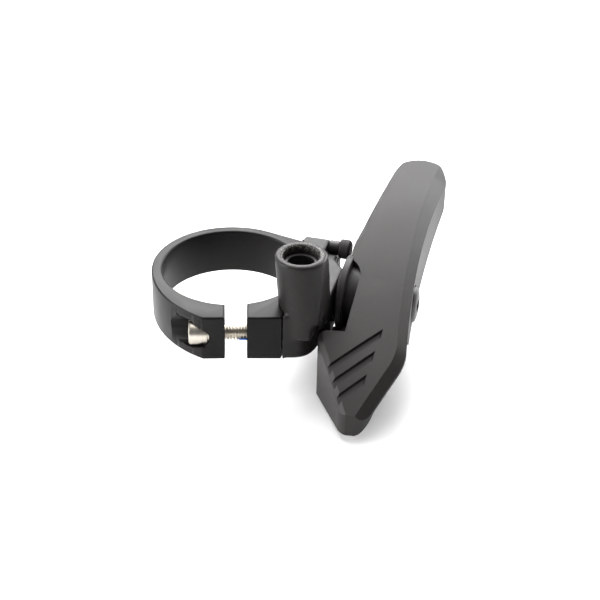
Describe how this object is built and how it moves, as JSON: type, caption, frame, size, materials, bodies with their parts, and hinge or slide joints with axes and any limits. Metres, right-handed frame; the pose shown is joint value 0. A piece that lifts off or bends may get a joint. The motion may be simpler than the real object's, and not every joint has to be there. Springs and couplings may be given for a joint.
{
  "type": "thumb shifter",
  "caption": "Black handlebar thumb shifter: slotted band clamp, cast pod with a tapered cable inlet and a long two-armed thumb lever on a sprung pivot.",
  "frame": {"origin": "middle of the handlebar bore", "axes": "+Z along the bar and out of the cable inlet's mouth; +X across the bar towards the pod; -Y towards the clamp's slot and the thumb pad"},
  "size_m": [0.07, 0.071, 0.0334],
  "materials": {
    "band_anodised": "black anodised, satin",
    "pod_cast": "black, matte, slightly mottled casting",
    "lever_moulded": "black moulded, fine grain",
    "stainless": "turned stainless steel",
    "dark_steel": "black oxide steel",
    "brass": "turned brass",
    "acetal": "black low-friction plastic",
    "rubber": "soft black rubber",
    "threadlock": "dried blue thread lock"
  },
  "bodies": {
    "housing": {"clamp_band": "band_anodised", "clamp_screw": "stainless", "clamp_washer": "stainless", "threadlock_patch": "threadlock", "pod_housing": "pod_cast", "inlet_liner": "acetal", "pod_screw_upper": "stainless", "pod_screw_lower": "stainless", "stop_post": "dark_steel", "stop_bumper": "rubber", "inner_bush": "acetal", "outer_bush": "acetal", "dust_seal": "rubber", "return_spring": "dark_steel"},
    "lever": {"lever_body": "lever_moulded", "pivot_shaft": "stainless", "crank_arm": "dark_steel", "retaining_clip": "dark_steel", "thrust_washer": "brass", "wave_washer": "dark_steel", "pivot_washer": "stainless", "pivot_screw": "dark_steel"},
    "cradle": {"cable_cradle": "brass"}
  },
  "joints": [
    {"name": "lever_pivot", "type": "hinge", "parent": "housing", "child": "lever", "pos_m": [0.0299, -0.00468, 0], "axis": [0.9588, -0.284, 0], "range_deg": [0, 25], "stiffness_Nm_per_rad": 0.12, "springref_deg": -28.65, "deforming": ["return_spring"]},
    {"name": "cradle_swivel", "type": "hinge", "parent": "lever", "child": "cradle", "pos_m": [0.01516, -0.01572, 0.00261], "axis": [0.9588, -0.284, 0], "range_deg": [-26, 1]}
  ],
  "couplings": [
    {"joint": "cradle_swivel", "follows": "lever_pivot", "ratio": -1}
  ]
}
